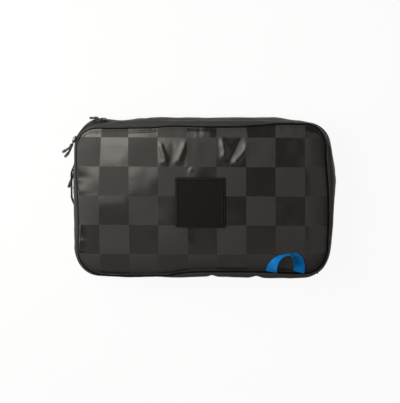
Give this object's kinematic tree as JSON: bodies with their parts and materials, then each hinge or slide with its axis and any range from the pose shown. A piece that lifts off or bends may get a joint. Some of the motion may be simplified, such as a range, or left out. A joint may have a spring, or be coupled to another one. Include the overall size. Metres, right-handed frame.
{
  "type": "paddle case",
  "caption": "Flat rectangular padded cloth case with rounded corners, a zip round three sides, a small end pocket, a webbing grab handle, a webbing loop and a bare square patch.",
  "frame": {"origin": "centre of the back panel's outer face, which the case lies on", "axes": "+X along the case towards the end without zipper pulls, +Y from the hinge side to the zipped long side, +Z from the back panel to the front panel"},
  "size_m": [0.4733, 0.2757, 0.0962],
  "materials": {
    "checker_cloth": "black woven polyester, printed in alternate glossy and matte squares of 50.8 mm",
    "wall_cloth": "black plain-woven polyester, slightly puckered at the seams",
    "back_cloth": "black plain-woven polyester",
    "lining_cloth": "dark grey brushed knit",
    "padding": "closed-cell foam sheet between cloth and lining",
    "binding": "black woven binding over the seams",
    "patch_rubber": "moulded matte black rubber with a raised border, bare",
    "blue_webbing": "bright blue woven nylon tape with a faint rib along it",
    "black_webbing": "black woven polypropylene webbing",
    "zip_tape": "black woven zipper tape",
    "coil": "black nylon coil, slightly glossy",
    "slider_metal": "die-cast zinc, black lacquer",
    "link_metal": "bent steel wire, black lacquer",
    "stop_metal": "crimped metal, black lacquer",
    "pull_cord": "black braided cord with cut, melted ends"
  },
  "bodies": {
    "base": {"rear_panel": "back_cloth", "rear_foam": "padding", "rear_lining": "lining_cloth", "rear_piping": "binding", "rear_gusset": "wall_cloth", "side_handle": "black_webbing", "pocket_pouch": "lining_cloth", "main_tape_rear": "zip_tape", "main_coil_rear": "coil", "hinge_strip_rear": "wall_cloth", "pocket_tapes": "zip_tape", "pocket_coils": "coil", "zip_stops": "stop_metal"},
    "lid": {"front_panel": "checker_cloth", "front_foam": "padding", "front_lining": "lining_cloth", "front_gusset": "wall_cloth", "front_piping": "binding", "badge_patch": "patch_rubber", "webbing_loop": "blue_webbing", "main_tape_front": "zip_tape", "main_coil_front": "coil", "hinge_strip_front": "wall_cloth"},
    "top_slider": {"top_slider": "slider_metal"},
    "top_pull": {"top_link": "link_metal", "top_knot": "pull_cord", "top_tail_a": "pull_cord", "top_tail_b": "pull_cord"},
    "corner_slider": {"corner_slider": "slider_metal"},
    "corner_pull": {"corner_link": "link_metal", "corner_knot": "pull_cord", "corner_tail_a": "pull_cord", "corner_tail_b": "pull_cord"},
    "pocket_slider": {"pocket_slider": "slider_metal"},
    "pocket_pull": {"pocket_link": "link_metal", "pocket_knot": "pull_cord", "pocket_tail_a": "pull_cord", "pocket_tail_b": "pull_cord"}
  },
  "joints": [
    {"name": "lid_hinge", "type": "hinge", "parent": "base", "child": "lid", "pos_m": [0, -0.1342, 0.0485], "axis": [1, 0, 0], "range_deg": [0, 170]},
    {"name": "top_slider_slide", "type": "slide", "parent": "base", "child": "top_slider", "axis": [1, 0, 0], "range_m": [0, 0.34]},
    {"name": "top_pull_swing", "type": "hinge", "parent": "top_slider", "child": "top_pull", "pos_m": [-0.1754, 0.13745, 0.0485], "axis": [0, 0, -1], "range_deg": [0, 120]},
    {"name": "corner_slider_turn", "type": "hinge", "parent": "base", "child": "corner_slider", "pos_m": [-0.176, 0.086, 0.0485], "axis": [0, 0, -1], "range_deg": [-18, 28]},
    {"name": "corner_pull_swing", "type": "hinge", "parent": "corner_slider", "child": "corner_pull", "pos_m": [-0.22567, 0.09962, 0.0485], "axis": [0, 0, -1], "range_deg": [0, 120]},
    {"name": "pocket_slider_slide", "type": "slide", "parent": "base", "child": "pocket_slider", "axis": [0, -1, 0], "range_m": [0, 0.115]},
    {"name": "pocket_pull_swing", "type": "hinge", "parent": "pocket_slider", "child": "pocket_pull", "pos_m": [-0.22745, 0.0526, 0.0185], "axis": [0, 0, -1], "range_deg": [0, 120]}
  ]
}
